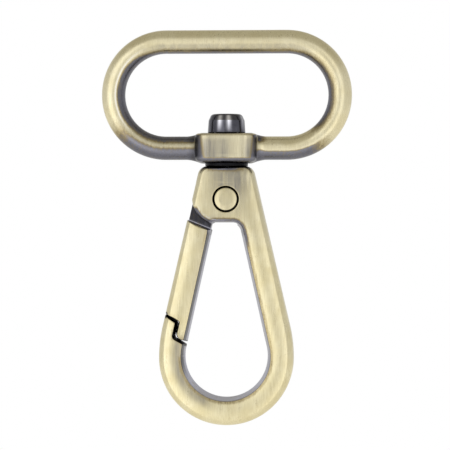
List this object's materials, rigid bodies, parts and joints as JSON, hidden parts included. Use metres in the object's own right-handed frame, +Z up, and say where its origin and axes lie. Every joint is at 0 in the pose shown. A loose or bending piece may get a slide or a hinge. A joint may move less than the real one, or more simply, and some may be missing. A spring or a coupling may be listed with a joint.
{
  "type": "swivel snap hook",
  "caption": "Swivel snap hook with an oval strap loop, a turning post and a teardrop hook closed by an inward-opening spring gate, in antique brass.",
  "frame": {"origin": "middle of the underside of the strap loop's top bar, where the strap bears", "axes": "+Z up along the swivel axis, from the hook to the strap loop; +X across the loop, with the gate on the -X side; -Y towards the front face"},
  "size_m": [0.0468, 0.009, 0.0737],
  "materials": {
    "antique_brass": "zinc die casting plated in antique brass, blackened and brushed back on the raised faces",
    "gunmetal": "polished black nickel plate",
    "blackened_steel": "black oxide steel, satin",
    "spring_steel": "bright drawn spring wire"
  },
  "bodies": {
    "loop": {"strap_loop": "antique_brass"},
    "hook": {"hook_body": "antique_brass", "swivel_post": "gunmetal", "swivel_washer": "blackened_steel", "gate_pin": "antique_brass", "gate_spring": "spring_steel"},
    "gate": {"gate": "antique_brass"}
  },
  "joints": [
    {"name": "swivel", "type": "hinge", "parent": "loop", "child": "hook", "pos_m": [0, 0, -0.0175], "axis": [0, 0, 1], "continuous": true},
    {"name": "gate_pivot", "type": "hinge", "parent": "hook", "child": "gate", "pos_m": [0, 0, -0.02715], "axis": [0, -1, 0], "range_deg": [0, 30], "stiffness_Nm_per_rad": 0.02, "springref_deg": -34.38, "deforming": ["gate_spring"]}
  ]
}
